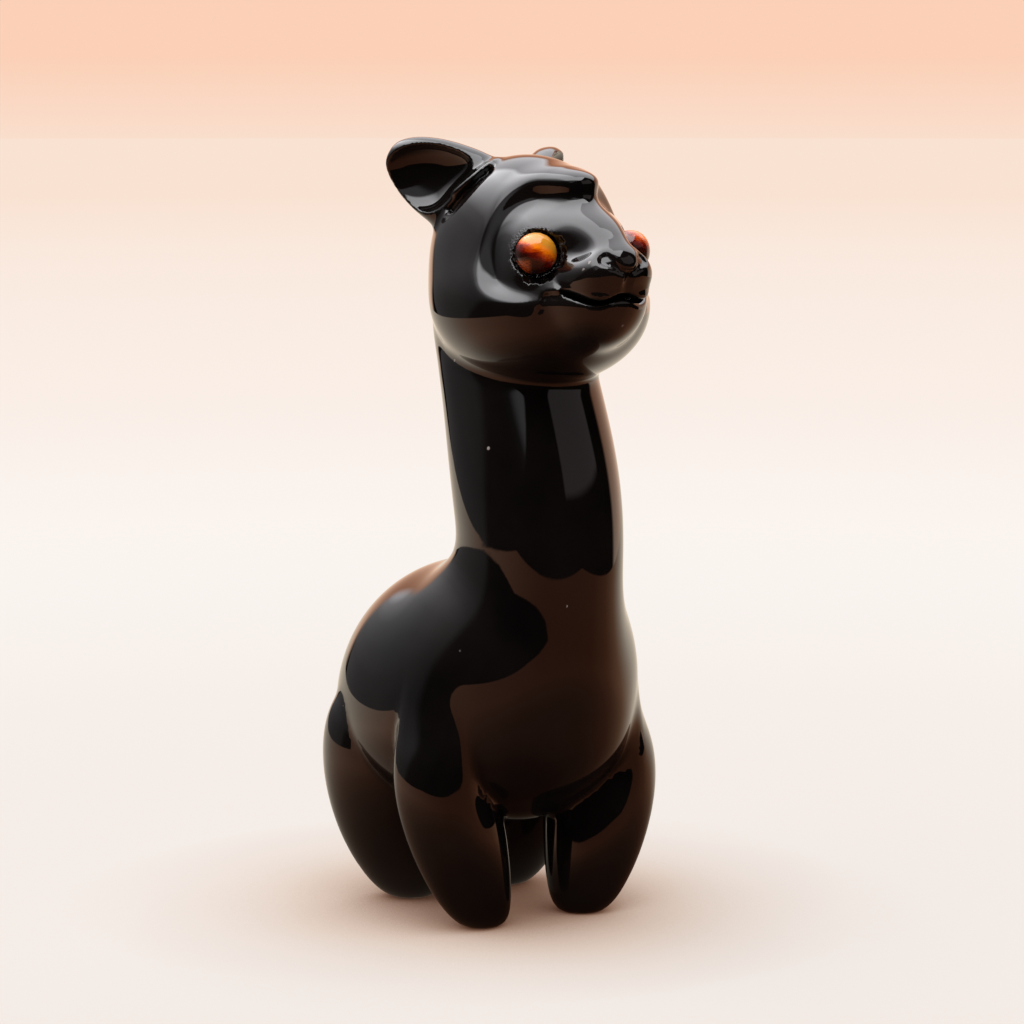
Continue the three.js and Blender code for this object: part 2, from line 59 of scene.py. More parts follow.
# Legs: each leans out from a small rounded foot to a broad hip
STANCE_WIDTH = 11.6  # between the middles of the left and the right sole
FRONT_STANCE = 7.2  # how far the front soles stand in front of the middle
BACK_STANCE = 7.5
FOOT_RADIUS = 2.55
SOLE_ROUNDING = 3.0
SHOULDER_RADIUS = 5.95
THIGH_RADIUS = 7.6
LEG_SPLAY = 3.7  # how much further out the shoulder is than the foot

# Neck and head
NECK_WIDTH = 15.6
NECK_DEPTH = 18.2
HEAD_HEIGHT = 21.4  # crown to the underside of the jaw
HEAD_REACH = 7.8  # how far the middle of the head is in front of the middle of the feet
CROWN_DROP = 1.7  # the crown below the top of the ears
EAR_SPREAD = 9.8  # between the roots of the ears
LEFT_EAR = 0.82  # size of the left ear, as a share of the right one

# Eyes: round domed stones with a flat back, each loose in its socket by a gap all round
EYE_DIAMETER = 4.0
EYE_DOME = 1.7
EYE_GIRDLE = 0.9  # straight part of the stone, let into the socket
EYE_PROUD = 0.1  # the straight part ends this much above the face
EYE_GAP = 0.3
EYE_BEARING = 30  # degrees out from straight ahead, seen from above
EYE_LIFT = 3  # degrees up from level
EYE_BACK_BEVEL = 0.12
SOCKET_FLARE = 0.6  # width of the bevel at the socket's mouth

# Fineness of the surfaces
BODY_STEP = 0.62
HEAD_STEP = 0.31
EYE_SEGMENTS = 96
DOME_RINGS = 20
NORMAL_STEP = 0.004  # distance to either side over which the field's slope is measured
LEAST_SLOPE = 0.25  # the squared slope counts as at least this when a vertex is moved
FILL_DEPTH = 0.01  # depth given to a lattice point that is turned into stone
TINY = 1e-9  # keeps a division from being by nothing

# The trunk's forms have a middle and half sizes across, along and up.
TRUNK_DEPTH = BACK_HEIGHT - BELLY_HEIGHT
BARREL = dict(
    middle=(0, 0.0787 * BODY_LENGTH, GIRTH_HEIGHT),
    half=(BODY_WIDTH / 2, BODY_LENGTH / 2),
    below=GIRTH_HEIGHT - BELLY_HEIGHT,
    above=BACK_HEIGHT - GIRTH_HEIGHT,
    turn=4.9,  # height over which the lower half becomes the upper one
)
CHEST = dict(
    middle=(0, -0.127 * BODY_LENGTH, BELLY_HEIGHT + 0.608 * TRUNK_DEPTH),
    half=(0.423 * BODY_WIDTH, 0.326 * BODY_LENGTH, 0.484 * TRUNK_DEPTH),
)
BRISKET = dict(
    middle=(0, -0.128 * BODY_LENGTH, BELLY_HEIGHT + 0.158 * TRUNK_DEPTH),
    half=(0.189 * BODY_WIDTH, 0.141 * BODY_LENGTH, 0.135 * TRUNK_DEPTH),
)
TRUNK_ROUNDING = dict(chest=4, brisket=2)

# A leg's section is a slightly oval round that grows from the foot to the hip. Its rounding into the body
# goes from the first value on its inner side to the second one where it faces outwards.
LEG = dict(
    turn=31,  # degrees that the oval is turned outwards
    long=1.06,
    short=0.96,
    lean_height=0.805 * LEG_HEIGHT,
    sole_cut=0.3,  # how far the rounded sole is carried below the ground, which then cuts it flat
    core=0.1,  # no side is outwards nearer than this to the leg's middle line
    merge=(0.2, 0.85),  # how squarely a place faces outwards where the rounding changes
)
FRONT_LEG = dict(
    stance=-FRONT_STANCE,
    splay=LEG_SPLAY,
    drawn_in=0.25,  # share of the stance by which the hip is nearer the middle than the foot
    radius=SHOULDER_RADIUS,
    growth=0.3 * LEG_HEIGHT,  # height in which most of the growth is done
    top=0.962 * LEG_HEIGHT,
    top_rounding=13,
    rounding=(1.2, 8),
    outwards=(0.8, -0.6),
)
BACK_LEG = dict(
    stance=BACK_STANCE,
    splay=0.568 * LEG_SPLAY,
    drawn_in=-0.03,
    radius=THIGH_RADIUS,
    growth=0.304 * LEG_HEIGHT,
    top=1.266 * LEG_HEIGHT,
    top_rounding=19,
    rounding=(0.6, 0.6),
    outwards=(1, 0),
)
SOLE_EDGE = 0.25  # rounding of the flat sole's edge

CROWN = HEIGHT - CROWN_DROP
JAW_BOTTOM = CROWN - HEAD_HEIGHT

# The neck's middle line goes from its foot to the head, leaning by the given slopes at its two ends.
NECK = dict(
    foot=0.852 * BACK_HEIGHT,
    top=JAW_BOTTOM + 0.248 * HEAD_HEIGHT,
    foot_place=-0.252 * BODY_LENGTH,
    foot_lean=-2.1,
    top_place=0.27 * HEAD_HEIGHT - HEAD_REACH,
    top_lean=13.8,
    bend=(-0.4, 1.2),  # shares of its height between which it bends, and is straight beyond
    swell=0.036,  # how much it fills out at mid height, as a share of its size
    swell_place=0.455,
    overlap=8,  # how far it is carried into the body
    cap_height=0.5,
    cap_rounding=8,
    body_rounding=4.9,
    head_rounding=(1.8, 5.5),  # at the jaw, and at the nape
    nape=(-3, 5),  # places along the body between which the one becomes the other
)

# The head's forms are measured from its middle, in units of which its height has 21.4.
HEAD_UNIT = HEAD_HEIGHT / 21.4
HEAD_MIDDLE = (0, -HEAD_REACH, CROWN - HEAD_HEIGHT / 2)
DOME = dict(middle=(0, 1.52, 0.62), half=(8.74, 12.12, 10.25))
JOWL = dict(middle=(0, -1, -4), half=(10.3, 11.63, 7.73))
CHEEKS = dict(middle=(0, -8.3, -2.4), half=(6.5, 5.6, 3))
SNOUT = dict(middle=(0, -11.6, -1.2), half=(4.4, 5, 2.8))
SNOUT_POWER = 3
NOSE = dict(middle=(0, -14.8, 0.5), half=(3, 1.9, 1.8))
CHIN = dict(middle=(0, -9.9, -2.6), half=(5.4, 6, 5.4))
BRIDGE = dict(start=(0, -8.2, 5.9), end=(0, -14.8, 0.4), radii=(2.3, 2))
NOSTRIL = dict(start=(0.7, -16.4, 0.2), end=(2, -15.9, 1.2), radii=(0.15, 0.3), depth=0.38, width=0.45)
CLEFT = dict(start=(0, -16.8, 0), end=(0, -16.6, -2.6), depth=0.45, width=0.35)
HEAD_ROUNDING = dict(
    skull=5,
    cheek=2.5,
    bridge=6.5,
    nose=2.2,
    lip_edge=0.4,
    chin_edge=0.3,
    mouth=(0.3, 2.4),  # at the middle, and beyond the corners
    muzzle=1.4,
    ear=1.3,
)

# The upper lip's edge has two lobes, and the mouth's corners turn up.
MOUTH = dict(
    height=-2.3,
    lobe=0.8,  # how far a lobe hangs down
    lobe_width=5.2,
    rise=0.1,  # slope up from the middle to the corner
    corner=(3.6, 5.2),  # distances from the middle over which the mouth runs out
    drop=4,
    drop_place=(5, 8.5),
    line=dict(depth=0.25, width=0.3, lift=0.1, face=(9, 11)),
)

# The groove that runs across the brow and down behind the eye, and the raised edge outside it
BROW = dict(
    radius=4.3,
    flatten=0.85,
    groove=dict(depth=1.1, width=1.35, start=(-5, -2.5)),
    edge=dict(height=0.45, width=1.5, away=2.2, start=(-1, 3)),
    face=(2, 6),
)

# An ear is a thin blade with a hollow face, a ridge across its root and a slot between ridge and head.
EAR = dict(
    root=(EAR_SPREAD / 2 / HEAD_UNIT, 5.6, 6.6),
    axis=(0.577, 0.647, 0.455),
    down=(0.55, 0.42, -0.72),
    taper=0.035,  # loss of breadth for each unit along the ear
    blade=dict(middle=(2.4, -0.4, -0.6), half=(6.8, 4.6, 2.5)),
    bowl=dict(middle=(4.6, 0.4, 1.8), half=(4.2, 4.6, 2.6)),
    slant=0.35,  # how far the bowl's lower side is shifted outwards along the ear
    power=2.4,  # squareness of the blade and of the bowl
    bowl_rounding=0.6,
    slot=dict(start=(-1.6, -3.5, 0), end=(0, 1.6, 0), depth=0.6, width=0.45),
    ridge=dict(start=(-1.2, -4.6, 0), end=(0.6, -0.1, 0), height=0.35, width=0.5),
    front=(-1, 0.5),
)
EYE_PLACE = (5.25, -8.6, 1.6)

# The chipped rim of a socket is a sum of waves round the eye, each with a count, a start and a size.
CHIP_WAVES = ((3, 0.4, 0.25), (5, 2.1, 0.25), (8, 4.0, 0.3), (13, 1.2, 0.3), (21, 5.1, 0.2), (34, 0.7, 0.15))
CHIP_TURN = 1.3  # the left rim's waves start this much further round, in radians
CHIP_BEVEL = dict(
    reach=0.3,  # mean width of the bevel and how far the waves move it, as shares of the flare
    waves=0.35,
    lip=0.3,  # height above the face up to which the bevel widens
    slope=0.707,
    depth=1.2,  # as a share of the flare
)
SOCKET_EDGE = 0.12  # rounding where the socket meets the face
WORN = dict(reach=0.55, waves=0.35, fade=(-0.1, 0.15), depth=2)  # the frosted ring outside the bevel


def smoothstep(x, low, high):
    t = np.clip((x - low) / (high - low), 0, 1)
    return t * t * (3 - 2 * t)


def lerp(a, b, t):
    return a + (b - a) * t


def blend(a, b, k):
    """Two distances joined with a rounding about as wide as k, smooth to the second derivative."""
    h = np.maximum(k - np.abs(a - b), 0) / k
    return np.minimum(a, b) - h * h * h * k / 6


def common(a, b, k):
    """The part common to both, rounded as blend does."""
    return -blend(-a, -b, k)


def carve(a, b, k):
    """a with b taken away, rounded as blend does."""
    return common(a, -b, k)


def bell(x, width):
    """A bump of height 1 and about the given width."""
    return np.exp(-((x / width) ** 2))


def length(x, y, z):
    return np.sqrt(x**2 + y**2 + z**2)


def ellipsoid(x, y, z, rx, ry, rz):
    near = length(x / rx, y / ry, z / rz)
    slope = length(x / rx**2, y / ry**2, z / rz**2)
    return near * (near - 1) / np.maximum(slope, TINY)


def form(x, y, z, part):
    mx, my, mz = part["middle"]
    return ellipsoid(x - mx, y - my, z - mz, *part["half"])


def block(x, y, z, part, power):
    """A box with well rounded sides; a higher power makes it squarer."""
    q = [np.abs(v - m) / h for v, m, h in zip((x, y, z), part["middle"], part["half"])]
    near = np.maximum(sum(v**power for v in q) ** (1 / power), TINY)
    slope = length(*(v ** (power - 1) / h for v, h in zip(q, part["half"]))) / near ** (power - 1)
    return (near - 1) / np.maximum(slope, 1 / max(part["half"]))


def rod(x, y, z, part):
    """A rod with round ends, whose radius changes evenly from one end to the other."""
    start, end = np.array(part["start"], float), np.array(part["end"], float)
    bx, by, bz = end - start
    ax, ay, az = x - start[0], y - start[1], z - start[2]
    t = np.clip((ax * bx + ay * by + az * bz) / (bx * bx + by * by + bz * bz), 0, 1)
    return length(ax - bx * t, ay - by * t, az - bz * t) - lerp(*part.get("radii", (0, 0)), t)


def hermite(t, y0, slope0, y1, slope1):
    """A curve from y0 to y1 over t from 0 to 1, with those slopes at its ends."""
    t2, t3 = t * t, t**3
    return y0 + (3 * t2 - 2 * t3) * (y1 - y0) + (t3 - 2 * t2 + t) * slope0 + (t3 - t2) * slope1


def along(axis, place):
    return sum(a * p for a, p in zip(axis, place))


def trunk(x, y, z):
    dz = z - BARREL["middle"][2]
    share = (1 + dz / np.hypot(dz, BARREL["turn"])) / 2
    rz = lerp(BARREL["below"], BARREL["above"], share)
    barrel = ellipsoid(x, y - BARREL["middle"][1], dz, *BARREL["half"], rz)
    with_chest = blend(barrel, form(x, y, z, CHEST), TRUNK_ROUNDING["chest"])
    return blend(with_chest, form(x, y, z, BRISKET), TRUNK_ROUNDING["brisket"])


def neck(x, y, z):
    t = (z - NECK["foot"]) / (NECK["top"] - NECK["foot"])
    ends = (NECK["foot_place"], NECK["foot_lean"], NECK["top_place"], NECK["top_lean"])
    middle = hermite(np.clip(t, *NECK["bend"]), *ends)
    swell = 1 + NECK["swell"] * np.cos(2 * np.pi * (t - NECK["swell_place"]))
    rx = NECK_WIDTH / 2 * swell
    ry = NECK_DEPTH / 2 * swell
    side = (np.hypot(x / rx, (y - middle) / ry) - 1) * rx
    beyond = np.maximum(z - NECK["top"] - NECK["cap_height"], NECK["foot"] - NECK["overlap"] - z)
    return common(side, beyond, NECK["cap_rounding"])


def leg(x, y, z, part):
    """A leg's distance, and the rounding with which it joins the body there."""
    growth, stance = part["growth"], part["stance"]
    r = lerp(FOOT_RADIUS, part["radius"], 1 - np.exp(-np.maximum(z, -growth / 3) / growth))
    t = z / LEG["lean_height"]
    dx = x - STANCE_WIDTH / 2 - part["splay"] * (3 * t - t * t) / 2
    dy = y - stance * (1 - part["drawn_in"] * t)
    c, s = math.cos(math.radians(LEG["turn"])), math.sin(math.radians(LEG["turn"]))
    lengthways = dx * c + dy * s * np.sign(stance)
    across = dx * s - dy * c * np.sign(stance)
    side = np.hypot(lengthways / LEG["long"], across / LEG["short"]) - r
    foot = common(side, -z - LEG["sole_cut"], SOLE_ROUNDING)
    facing = along(part["outwards"], (dx, dy)) / np.maximum(np.hypot(dx, dy), LEG["core"])
    rounding = lerp(*part["rounding"], smoothstep(facing, *LEG["merge"]))
    return common(foot, z - part["top"], part["top_rounding"]), rounding


def lower(x, y, z):
    d = blend(trunk(x, y, z), neck(x, y, z), NECK["body_rounding"])
    for part in (FRONT_LEG, BACK_LEG):
        limb, rounding = leg(x, y, z, part)
        d = blend(d, limb, rounding)
    return d


def unit(v):
    v = np.array(v, float)
    return v / np.linalg.norm(v)


def eye_axes():
    """The left eye's own directions: out of the face, towards the nose and up."""
    a, b = math.radians(EYE_BEARING), math.radians(EYE_LIFT)
    out = np.array([math.sin(a) * math.cos(b), -math.cos(a) * math.cos(b), math.sin(b)])
    nose = np.array([-math.cos(a), -math.sin(a), 0])
    return out, nose, np.cross(nose, out)


def ear_axes():
    """The left ear's own directions: along it, down across it and out of its hollow face."""
    axis = unit(EAR["axis"])
    face = unit(np.cross(EAR["down"], axis))
    return axis, np.cross(axis, face), face


EYE_OUT, EYE_NOSE, EYE_UP = eye_axes()
EAR_AXIS, EAR_DOWN, EAR_FACE = ear_axes()


def lip_line(x):
    """Height of the upper lip's edge at a distance x from the middle of the face."""
    lobe = MOUTH["lobe"] * np.sin(np.pi * np.minimum(x, MOUTH["lobe_width"]) / MOUTH["lobe_width"]) ** 2
    return MOUTH["height"] - lobe + MOUTH["rise"] * x - MOUTH["drop"] * smoothstep(x, *MOUTH["drop_place"])


def muzzle(x, y, z):
    lip = lip_line(x)
    pads = blend(block(x, y, z, SNOUT, SNOUT_POWER), form(x, y, z, CHEEKS), HEAD_ROUNDING["cheek"])
    upper = common(pads, lip - z, HEAD_ROUNDING["lip_edge"])
    chin = common(form(x, y, z, CHIN), z - lip, HEAD_ROUNDING["chin_edge"])
    closed = blend(upper, chin, lerp(*HEAD_ROUNDING["mouth"], smoothstep(x, *MOUTH["corner"])))
    return blend(closed, form(x, y, z, NOSE), HEAD_ROUNDING["nose"])


def brow_relief(x, y, z):
    """How much is cut off the face by the groove round the eye, less what its raised edge adds."""
    place = (x - EYE_PLACE[0], y - EYE_PLACE[1], z - EYE_PLACE[2])
    s, t = along(EYE_NOSE, place), along(EYE_UP, place)
    behind = (s - np.sqrt(s * s + 1)) / 2
    away = np.hypot(behind, BROW["flatten"] * t) - BROW["radius"]
    groove, edge = BROW["groove"], BROW["edge"]
    face = smoothstep(-y, *BROW["face"]) * smoothstep(t, *groove["start"])
    raised = edge["height"] * smoothstep(t, *edge["start"]) * bell(away - edge["away"], edge["width"])
    return face * (groove["depth"] * bell(away, groove["width"]) - raised)


def mouth_relief(x, y, z):
    """The line of the closed mouth below the upper lip."""
    line = MOUTH["line"]
    shown = smoothstep(-y, *line["face"]) * (1 - smoothstep(x, *MOUTH["corner"]))
    return line["depth"] * shown * bell(z - lip_line(x) + line["lift"], line["width"])


def with_ear(d, x, y, z, size):
    place = [(v - root) / size for v, root in zip((x, y, z), EAR["root"])]
    e, down, out = along(EAR_AXIS, place), along(EAR_DOWN, place), along(EAR_FACE, place)
    broad = down / (1 - EAR["taper"] * e)
    blade = block(e, broad, out, EAR["blade"], EAR["power"])
    bowl = block(e - EAR["slant"] * broad, broad, out, EAR["bowl"], EAR["power"])
    ear = carve(blade, bowl, EAR["bowl_rounding"]) * size
    flat = np.zeros_like(e)
    slot = EAR["slot"]["depth"] * bell(rod(e, down, flat, EAR["slot"]), EAR["slot"]["width"])
    ridge = EAR["ridge"]["height"] * bell(rod(e, down, flat, EAR["ridge"]), EAR["ridge"]["width"])
    return blend(d, ear, HEAD_ROUNDING["ear"]) + smoothstep(out, *EAR["front"]) * (slot - ridge)


def head(x, y, z, ear_size):
    skull = blend(form(x, y, z, DOME), form(x, y, z, JOWL), HEAD_ROUNDING["skull"])
    brow = blend(skull, rod(x, y, z, BRIDGE), HEAD_ROUNDING["bridge"])
    d = blend(brow, muzzle(x, y, z), HEAD_ROUNDING["muzzle"]) + brow_relief(x, y, z) + mouth_relief(x, y, z)
    for cut in (NOSTRIL, CLEFT):
        d = d + cut["depth"] * bell(np.maximum(rod(x, y, z, cut), 0), cut["width"])
    return with_ear(d, x, y, z, ear_size)


def figure(x, y, z):
    """The stone's distance field before the soles and sockets are cut.

    The left side is the right side's mirror image, apart from the size of its ear.
    """
    ax = np.abs(x)
    u = HEAD_UNIT
    ear_size = np.where(x > 0, LEFT_EAR, 1.0)
    bust = head(ax / u, (y - HEAD_MIDDLE[1]) / u, (z - HEAD_MIDDLE[2]) / u, ear_size) * u
    return blend(lower(ax, y, z), bust, lerp(*NECK["head_rounding"], smoothstep(y, *NECK["nape"])))


def eye_seat(rounds=20):
    """The point of the face that lies on the left eye's axis."""
    seat = np.array(EYE_PLACE) * HEAD_UNIT + np.array(HEAD_MIDDLE)
    for _ in range(rounds):
        seat = seat - EYE_OUT * figure(*seat)
    return seat


SEAT = eye_seat()
SOCKET_RADIUS = EYE_DIAMETER / 2 + EYE_GAP
SOCKET_FLOOR = -EYE_GIRDLE - EYE_GAP


def at_eye(x, y, z):
    """Distance from the nearer eye's axis, height above the face, and how far the rim's chips reach there."""
    place = (np.abs(x) - SEAT[0], y - SEAT[1], z - SEAT[2])
    s, t = along(EYE_NOSE, place), along(EYE_UP, place)
    angle = np.arctan2(t, s) + np.where(x > 0, CHIP_TURN, 0)
    chips = sum(np.sin(count * angle + start) * size for count, start, size in CHIP_WAVES)
    return np.hypot(s, t), along(EYE_OUT, place), chips


def socket(x, y, z):
    """Negative in the drilled socket, whose mouth is a rough chipped ring."""
    radius, height, chips = at_eye(x, y, z)
    bore = np.maximum(radius - SOCKET_RADIUS, SOCKET_FLOOR - height)
    width = SOCKET_FLARE * (CHIP_BEVEL["reach"] + CHIP_BEVEL["waves"] * chips)
    slanted = (radius - SOCKET_RADIUS - width - np.minimum(height, CHIP_BEVEL["lip"])) * CHIP_BEVEL["slope"]
    return np.minimum(bore, np.maximum(slanted, -height - SOCKET_FLARE * CHIP_BEVEL["depth"]))


def stone(x, y, z):
    standing = common(figure(x, y, z), -z, SOLE_EDGE)
    return carve(standing, socket(x, y, z), SOCKET_EDGE)


def worn_at(x, y, z):
    """1 on the chipped rim of a socket and inside it, fading to 0 on the polished face."""
    radius, height, chips = at_eye(x, y, z)
    reach = SOCKET_RADIUS + SOCKET_FLARE * (WORN["reach"] + WORN["waves"] * chips)
    inner, outer = WORN["fade"]
    return (1 - smoothstep(radius, reach + inner, reach + outer)) * (height > -WORN["depth"])


def gradient(field, points):
    """The direction in which a distance grows fastest, at each point."""
    slopes = []
    for axis in range(3):
        up, down = list(points.T), list(points.T)
        up[axis] = points[:, axis] + NORMAL_STEP
        down[axis] = points[:, axis] - NORMAL_STEP
        slopes.append(field(*up) - field(*down))
    return np.stack(slopes, 1) / (2 * NORMAL_STEP)


def settle(field, points, rounds=4):
    """Moves points on to the surface."""
    for _ in range(rounds):
        g = gradient(field, points)
        points = points - g * (field(*points.T) / np.maximum((g * g).sum(1), LEAST_SLOPE))[:, None]
    return points


# How far the lattice reaches at the body and at the head, sideways and lengthways, and the heights between
# which it turns from the one to the other
LATTICE_BODY = (0.65 * BODY_WIDTH, 0.62 * BODY_LENGTH)
LATTICE_HEAD = (0.78 * HEAD_HEIGHT, 0.9 * HEAD_HEIGHT)
LATTICE_TURN = (JAW_BOTTOM - 0.4 * HEAD_HEIGHT, JAW_BOTTOM)
LATTICE_FORWARD = HEAD_MIDDLE[1] - 0.1 * HEAD_HEIGHT


def lattice():
    """Planes of points, coarse at the body and finer and further forward at the head."""

    def step_at(z):
        return lerp(BODY_STEP, HEAD_STEP, float(smoothstep(z, *LATTICE_TURN)))

    reach = [max(b / BODY_STEP, h / HEAD_STEP) for b, h in zip(LATTICE_BODY, LATTICE_HEAD)]
    nx, ny = (math.ceil(r) + 2 for r in reach)
    levels = [-2 * BODY_STEP]
    while levels[-1] + step_at(levels[-1]) < HEIGHT + 4 * HEAD_STEP:
        levels.append(levels[-1] + step_at(levels[-1]))
    steps = np.array([step_at(z) for z in levels])[:, None, None]
    z = np.array(levels)[:, None, None]
    middle = LATTICE_FORWARD * smoothstep(z, *LATTICE_TURN)
    x = steps * np.arange(-nx, nx + 1)[None, None, :]
    y = middle + steps * np.arange(-ny, ny + 1)[None, :, None]
    return np.stack(np.broadcast_arrays(x, y, z), -1)


def close_corners(values):
    """Where stone meets stone only across a lattice face's corners, the nearer empty corner becomes stone."""
    ring = ((0, 0), (1, 0), (1, 1), (0, 1))
    changed = True
    while changed:
        changed = False
        for u, w in ((0, 1), (1, 2), (0, 2)):
            cut = [[slice(None)] * 3 for _ in ring]
            for n, (du, dw) in enumerate(ring):
                cut[n][u] = slice(du, values.shape[u] - 1 + du)
                cut[n][w] = slice(dw, values.shape[w] - 1 + dw)
            a, b, c, d = (values[tuple(s)] < 0 for s in cut)
            for place in np.argwhere((a == c) & (b == d) & (a != b)):
                changed = True
                corners = []
                for du, dw in ring:
                    corner = place.copy()
                    corner[u] += du
                    corner[w] += dw
                    corners.append(tuple(corner))
                empty = [corner for corner in corners if values[corner] >= 0]
                if len(empty) == 2:
                    values[min(empty, key=lambda corner: values[corner])] = -FILL_DEPTH


def cell_vertices(field, points, values):
    """A settled vertex in each lattice cell that the surface crosses, and each cell's vertex number."""
    solid = values < 0
    corners = [(a, b, c) for a in (0, 1) for b in (0, 1) for c in (0, 1)]
    nz, ny, nx = (n - 1 for n in values.shape)
    filled = sum(solid[a:nz + a, b:ny + b, c:nx + c].astype(np.int8) for a, b, c in corners)
    active = (filled > 0) & (filled < len(corners))
    cells = np.argwhere(active)
    number = np.full(active.shape, -1)
    number[active] = np.arange(len(cells))
    total = np.zeros((len(cells), 3))
    hits = np.zeros(len(cells))
    for n, a in enumerate(corners):
        for b in corners[n + 1:]:
            if sum(abs(p - q) for p, q in zip(a, b)) != 1:
                continue
            at_a, at_b = tuple((cells + a).T), tuple((cells + b).T)
            cross = solid[at_a] != solid[at_b]
            t = np.where(cross, values[at_a] / np.where(cross, values[at_a] - values[at_b], 1), 0)[:, None]
            total += np.where(cross[:, None], lerp(points[at_a], points[at_b], t), 0)
            hits += cross
    return settle(field, total / hits[:, None]), number


def edge_quads(solid, number, axis):
    """A ring of four vertices across each lattice edge along the axis that the surface cuts."""
    inner = [slice(1, size - 1) for size in solid.shape]
    low, high = list(inner), list(inner)
    low[axis] = slice(0, solid.shape[axis] - 1)
    high[axis] = slice(1, solid.shape[axis])
    here, there = solid[tuple(low)], solid[tuple(high)]
    place = np.argwhere(here != there)
    at = place + np.array([s.start for s in low])
    first, second = (n for n in range(3) if n != axis)
    ring = []
    for back_first, back_second in ((1, 1), (0, 1), (0, 0), (1, 0)):
        cell = at.copy()
        cell[:, first] -= back_first
        cell[:, second] -= back_second
        ring.append(number[tuple(cell.T)])
    ring = np.stack(ring, 1)
    inward = here[tuple(place.T)]
    turn = ~inward if axis == 1 else inward
    ring[turn] = ring[turn][:, ::-1]
    return ring


def surface(field):
    """The closed surface where the field is zero, as vertices and triangles."""
    points = lattice()
    values = np.stack([field(*plane.transpose(2, 0, 1)) for plane in points])
    close_corners(values)
    vertices, number = cell_vertices(field, points, values)
    quads = np.concatenate([edge_quads(values < 0, number, axis) for axis in range(3)])
    a, b, c, d = (vertices[quads[:, n]] for n in range(4))
    short = (np.linalg.norm(a - c, axis=1) <= np.linalg.norm(b - d, axis=1))[:, None]
    first = np.where(short, quads[:, [0, 1, 2]], quads[:, [0, 1, 3]])
    second = np.where(short, quads[:, [0, 2, 3]], quads[:, [1, 2, 3]])
    return largest(vertices, np.concatenate([first, second]))


def largest(vertices, triangles):
    """The biggest connected surface alone."""
    label = np.arange(len(vertices))
    while True:
        new = label.copy()
        low = label[triangles].min(1)
        for n in range(3):
            np.minimum.at(new, triangles[:, n], low)
        new = new[new]
        if (new == label).all():
            break
        label = new
    keep = label == np.bincount(label).argmax()
    number = np.cumsum(keep) - 1
    return vertices[keep], number[triangles[keep[triangles[:, 0]]]]


def to_frame(points):
    """Points in the model's own frame, in metres."""
    return (np.asarray(points) + np.array([*FEET, 0])) * MM


def link(name, data):
    obj = bpy.data.objects.new(name, data)
    bpy.context.scene.collection.objects.link(obj)
    return obj


def new_object(name, vertices, faces, normals=None):
    mesh = bpy.data.meshes.new(name)
    mesh.from_pydata(to_frame(vertices).tolist(), [], [list(map(int, f)) for f in faces])
    mesh.polygons.foreach_set("use_smooth", [True] * len(mesh.polygons))
    if normals is not None:
        mesh.normals_split_custom_set_from_vertices(normals.tolist())
    mesh.update()
    return link(name, mesh)


def lathe(name, profile, side):
    """A turned piece on an eye's axis, from a profile of radius and height above the face."""
    vertices, faces, rings = [], [], []
    for radius, height in profile:
        middle = SEAT + EYE_OUT * height
        count = EYE_SEGMENTS if radius else 1
        rings.append(range(len(vertices), len(vertices) + count))
        for n in range(count):
            a = 2 * math.pi * n / EYE_SEGMENTS
            vertices.append(middle + (EYE_NOSE * math.cos(a) + EYE_UP * math.sin(a)) * radius)
    for low, high in zip(rings, rings[1:]):
        for n in range(EYE_SEGMENTS):
            m = (n + 1) % EYE_SEGMENTS
            if len(low) == 1:
                faces.append([low[0], high[m], high[n]])
            elif len(high) == 1:
                faces.append([low[n], low[m], high[0]])
            else:
                faces.append([low[n], low[m], high[m], high[n]])
    vertices = np.array(vertices)
    if side < 0:
        vertices[:, 0] *= -1
        faces = [face[::-1] for face in faces]
    return new_object(name, vertices, faces)


def eye_profile():
    """A flat back, a straight girdle and a dome, from the middle of the back to the top."""
    radius, back = EYE_DIAMETER / 2, -EYE_GIRDLE
    profile = [(0, back), (radius - EYE_BACK_BEVEL, back), (radius, back + EYE_BACK_BEVEL)]
    for n in range(DOME_RINGS):
        a = n / DOME_RINGS * math.pi / 2
        profile.append((radius * math.cos(a), EYE_PROUD + EYE_DOME * math.sin(a)))
    profile.append((0, EYE_PROUD + EYE_DOME))
    return profile


